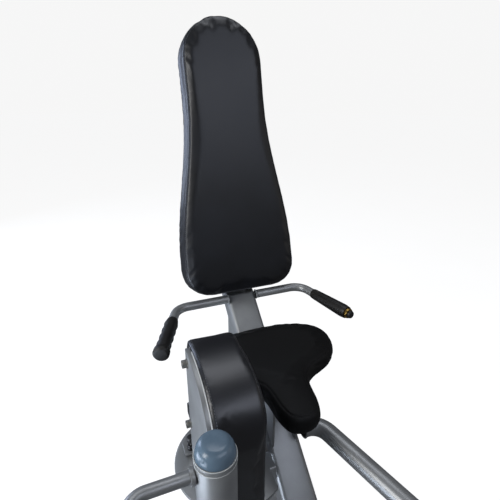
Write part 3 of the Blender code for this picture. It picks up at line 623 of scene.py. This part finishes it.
# %% Seam of the seat
seat_points = points_of(nodes["seat_cushion"].data)
SEAT_TILT = math.atan(0.1365)  # how far the top falls towards the nose
SEAT_UP = Vector((0, -math.sin(SEAT_TILT), math.cos(SEAT_TILT)))
top_depth = float((seat_points @ np.array(SEAT_UP)).max())
band_ring = ring_of("seat_cushion", SEAT_UP, top_depth - 2.2 * MM, 0.8 * MM)
band_seam, _ = laid_on(seat_pad, evenly(band_ring, 4 * MM, closed=True))
sink_seam(seat_pad, band_seam + band_seam[:1], 1.1 * MM, 1.9 * MM)
back_loop = back_stitches + back_stitches[:1]
beads("frame_stitches", [back_loop], thread, "frame", 5 * MM, 3.4 * MM, 0.55 * MM)
band_fold, _ = laid_on(seat_pad, band_seam, -0.3 * MM)
rope("seat_band_fold", band_fold, 0.6 * MM, seat_vinyl, "frame", closed=True)
print("seat seam:", len(band_seam), "points")

# %% [markdown]
# ## Small steel: bolt heads and weld beads
#
# Hexagon heads with washers hold the board's brackets. A second Geometry Nodes tree makes a head at
# each given point and turns it to face the way the bolt points. Weld beads use the bead tree again,
# with the beads so close that they merge into a rippled ring.

# %% A tree that sets bolt heads
def bolt_tree():
    tree = bpy.data.node_groups.new("bolt_heads", "GeometryNodeTree")
    tree.interface.new_socket("Geometry", in_out="INPUT", socket_type="NodeSocketGeometry")
    for name in ("Head radius", "Head height"):
        tree.interface.new_socket(name, in_out="INPUT", socket_type="NodeSocketFloat")
    tree.interface.new_socket("Material", in_out="INPUT", socket_type="NodeSocketMaterial")
    tree.interface.new_socket("Geometry", in_out="OUTPUT", socket_type="NodeSocketGeometry")
    start = tree.nodes.new("NodeGroupInput").outputs
    head = node(tree, "GeometryNodeMeshCylinder", Vertices=6, Radius=start["Head radius"],
                Depth=start["Head height"])
    wide = node(tree, "ShaderNodeMath", {"operation": "MULTIPLY"}, in0=start["Head radius"], in1=1.35)
    thin = node(tree, "ShaderNodeMath", {"operation": "MULTIPLY"}, in0=start["Head height"], in1=0.3)
    washer = node(tree, "GeometryNodeMeshCylinder", Vertices=24, Radius=wide.outputs[0],
                  Depth=thin.outputs[0])
    lift = node(tree, "ShaderNodeMath", {"operation": "MULTIPLY"}, in0=start["Head height"], in1=0.5)
    offset = node(tree, "ShaderNodeCombineXYZ", Z=lift.outputs[0])
    raised = node(tree, "GeometryNodeTransform", Geometry=head.outputs["Mesh"], Translation=offset.outputs[0])
    joined = tree.nodes.new("GeometryNodeJoinGeometry")
    tree.links.new(raised.outputs[0], joined.inputs[0])
    tree.links.new(washer.outputs["Mesh"], joined.inputs[0])
    aim = node(tree, "GeometryNodeInputNamedAttribute", {"data_type": "FLOAT_VECTOR"}, Name="aim")
    turn = node(tree, "FunctionNodeAlignRotationToVector", {"axis": "Z"}, Vector=aim.outputs[0])
    placed = node(tree, "GeometryNodeInstanceOnPoints", Points=start["Geometry"],
                  Instance=joined.outputs[0], Rotation=turn.outputs[0])
    real = node(tree, "GeometryNodeRealizeInstances", Geometry=placed.outputs[0])
    named = node(tree, "GeometryNodeSetMaterial", Geometry=real.outputs[0], Material=start["Material"])
    end = tree.nodes.new("NodeGroupOutput")
    tree.links.new(named.outputs[0], end.inputs[0])
    return tree


BOLTS = bolt_tree()


def bolts(name, places, body, radius, height):
    """Bolt heads at (place, direction) pairs, as one mesh with soft edges."""
    mesh = bpy.data.meshes.new(name)
    mesh.from_pydata([tuple(p) for p, _ in places], [], [])
    aims = mesh.attributes.new("aim", "FLOAT_VECTOR", "POINT")
    aims.data.foreach_set("vector", [c for _, aim in places for c in aim])
    made = show(name, mesh)
    heads = made.modifiers.new("heads", "NODES")
    heads.node_group = BOLTS
    for key, value in (("Head radius", radius), ("Head height", height), ("Material", zinc_steel)):
        heads[socket_id(BOLTS, key)] = value
    settle(made)
    soften(made, 0.5 * MM)
    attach(made, body)
    print(name, len(places), "bolts")
    return made


bracket_bolts = []
for part in ("back_bracket_lower", "back_bracket_upper"):
    low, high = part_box(part)
    middle = (low + high) / 2
    for sign in (-1, 1):
        bracket_bolts.append((middle + Vector((sign * 0.058, 0, 0)) + BACK_REAR * 3.5 * MM, BACK_REAR))
bolts("bracket_bolts", bracket_bolts, "frame", 6.5 * MM, 5 * MM)

# %% [markdown]
# A tube that is welded to another shows a rippled bead all the way round the joint, where each pool
# of metal froze over the last. The beads here lie round the roots of the handles and the side tube,
# and round the foot of the post.

# %% Weld beads
def ring_path(middle, axis, radius, count=40):
    side = axis.orthogonal().normalized()
    other = axis.cross(side)
    turn = [2 * math.pi * i / count for i in range(count + 1)]
    return [middle + (side * math.cos(a) + other * math.sin(a)) * radius for a in turn]


weld_paths = []
for part, sign in (("handle_right", -1), ("handle_left", 1)):
    low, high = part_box(part)
    inner = high.x if sign < 0 else low.x
    handle_root = Vector((inner, high.y - 12 * MM, (low.z + high.z) / 2))
    weld_paths.append(ring_path(handle_root, Vector((1, 0, 0)), 12.6 * MM))
side_low, side_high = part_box("side_tube")
side_root = Vector((side_low.x + 1 * MM, side_high.y - 21.8 * MM, side_high.z - 21.8 * MM))
weld_paths.append(ring_path(side_root, Vector((1, 0, 0)), 22.4 * MM))
post_low, post_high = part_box("post")
post_middle = (post_low + post_high) / 2
post_foot = Vector((post_middle.x, post_middle.y, post_low.z + 1 * MM))
weld_paths.append(ring_path(post_foot, Vector((0, 0, 1)), 35.6 * MM))
beads("weld_beads", weld_paths, paint, "frame", 2.2 * MM, 3.6 * MM, 1.5 * MM)

# %% [markdown]
# Thin cords of pale paint run round the post's steel ring, above and below, as painted highlights
# on its edges, and show as two fine light lines under the cap. Another cord runs round the rim of the
# leg pad's steel plate as a painted highlight on the plate's lit edge.

# %% Painted highlight cords on the post ring and the plate rim
# A pale paint for the cords below: they are painted highlights on lit metal edges.
sealant = moulded("pale_acrylic_sealant", "#c9ccc8", "#e2e4e0", 0.35, 0.5, 1 * MM, 0.1 * MM, 1.48)
plate_ring = ring_of("pad_plate", Vector((1, 0, 0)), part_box("pad_plate")[1].x)
plate_rim = evenly(plate_ring, 6 * MM, closed=True)
# A painted highlight along the lit rim of the leg pad's plate.
rope("plate_edge_trim", plate_rim, 1.3 * MM, sealant, "leg_arm", closed=True)
ring_low, ring_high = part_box("post_ring")
# Painted highlights on the post ring's upper and lower edges.
for name, height in (("sealant_upper", ring_high.z), ("sealant_lower", ring_low.z)):
    path = ring_path(Vector((post_middle.x, post_middle.y, height)), Vector((0, 0, 1)), 35.2 * MM, 72)[:-1]
    rope(name, path, 0.7 * MM, sealant, "frame", closed=True)

# %% [markdown]
# ## Camera, floor and lamps
#
# The camera stands above seat height on the user's front right and looks down at the machine through
# a moderately wide lens. The floor and the dome behind it glow softly, as a lit acrylic table does, so
# no horizon shows, and they are hidden from reflections so that black vinyl stays black. The lamps do
# what a photographer's softboxes do: a key on the user's right and a low one beside the post give the
# tubes their bright sides, one in front and one overhead lay a sheen on the pads, a cool one behind
# draws the back pad's edge, and a weak one fills the shade.

# %% Camera
seat_datum = Vector((0.0, 0.26, 0.62))  # where the side handles cross the centre plane
turned, tipped, rolled = math.radians(21.5), math.radians(22.5), math.radians(0.3)
ahead_flat = Vector((math.sin(turned), math.cos(turned), 0))
right_flat = Vector((math.cos(turned), -math.sin(turned), 0))
up = Vector((0, 0, 1))
view_up = ahead_flat * math.sin(tipped) + up * math.cos(tipped)
view_ahead = ahead_flat * math.cos(tipped) - up * math.sin(tipped)
camera_right = right_flat * math.cos(rolled) + view_up * math.sin(rolled)
camera_up = view_up * math.cos(rolled) - right_flat * math.sin(rolled)
lens = bpy.data.cameras.new("camera")
lens.sensor_width, lens.lens = 36.0, 27.33
camera = bpy.data.objects.new("camera", lens)
scene.collection.objects.link(camera)
turn = Matrix((camera_right, camera_up, -view_ahead)).transposed().to_4x4()
camera.matrix_world = Matrix.Translation(seat_datum + Vector((-0.3288, -0.8968, 0.540))) @ turn
scene.camera = camera

# %% Floor, backdrop and world
def stage_mesh(name, build, finish):
    mesh = bpy.data.meshes.new(name)
    build.to_mesh(mesh)
    build.free()
    made = show(name, mesh, finish)
    made.visible_diffuse = made.visible_glossy = made.visible_transmission = False
    return made


floor_build = bmesh.new()
bmesh.ops.create_circle(floor_build, cap_ends=True, segments=64, radius=25.0)
pale_floor, floor_tree, floor_shader, floor_place = new_material("backlit_white_acrylic_floor")
floor_noise = node(floor_tree, "ShaderNodeTexNoise", Vector=floor_place, Scale=1 / (400 * MM), Detail=3.0)
floor_tree.links.new(tones(floor_tree, floor_noise.outputs["Fac"], "#8e8e8d", "#929291"),
                     floor_shader.inputs["Base Color"])
floor_shader.inputs["Roughness"].default_value = 0.9
floor_shader.inputs["Specular IOR Level"].default_value = 0.0
floor_shader.inputs["Emission Color"].default_value = linear("#ffffff")
floor_shader.inputs["Emission Strength"].default_value = 0.90
stage_mesh("floor", floor_build, pale_floor)
dome_build = bmesh.new()
bmesh.ops.create_uvsphere(dome_build, u_segments=48, v_segments=24, radius=25.0)
dome_paper, _, dome_shader, _ = new_material("backlit_white_paper")
dome_shader.inputs["Base Color"].default_value = linear("#000000")
dome_shader.inputs["Specular IOR Level"].default_value = 0.0
dome_shader.inputs["Emission Color"].default_value = linear("#ffffff")
dome_shader.inputs["Emission Strength"].default_value = 0.925
backdrop = stage_mesh("backdrop", dome_build, dome_paper)
backdrop.visible_shadow = False
world = bpy.data.worlds.new("studio")
world.use_nodes = True
world.node_tree.nodes["Background"].inputs["Color"].default_value = linear("#f6f8ff")
world.node_tree.nodes["Background"].inputs["Strength"].default_value = 0.10
scene.world = world
scene.view_settings.view_transform = "Standard"


# %% Soft lamps
def softbox(name, place, width, height, brightness, colour):
    """A softbox of a given surface brightness that faces the seat."""
    lamp = bpy.data.lights.new(name, "AREA")
    lamp.shape, lamp.size, lamp.size_y = "RECTANGLE", width, height
    lamp.energy = brightness * math.pi * width * height
    lamp.color = linear(colour)[:3]
    made = bpy.data.objects.new(name, lamp)
    scene.collection.objects.link(made)
    made.location = seat_datum + place
    made.rotation_euler = (-place).to_track_quat("-Z", "Y").to_euler()
    made.visible_camera = False


softbox("key_softbox", Vector((-2.6, -0.9, 1.3)), 1.0, 1.6, 8.0, "#ffffff")
softbox("front_softbox", Vector((0.9, -2.5, 2.0)), 2.6, 1.4, 1.9, "#e6edff")
softbox("overhead_softbox", Vector((0.3, 0.4, 2.8)), 1.8, 1.2, 2.6, "#f2f6ff")
softbox("rim_softbox", Vector((-1.9, 2.2, 0.9)), 1.2, 1.8, 5.0, "#d4e2ff")
softbox("low_softbox", Vector((-1.3, -0.35, -0.38)), 1.4, 0.5, 7.5, "#e0ecff")
softbox("fill_softbox", Vector((2.6, -1.2, 0.8)), 1.4, 1.8, 0.4, "#fff8f0")
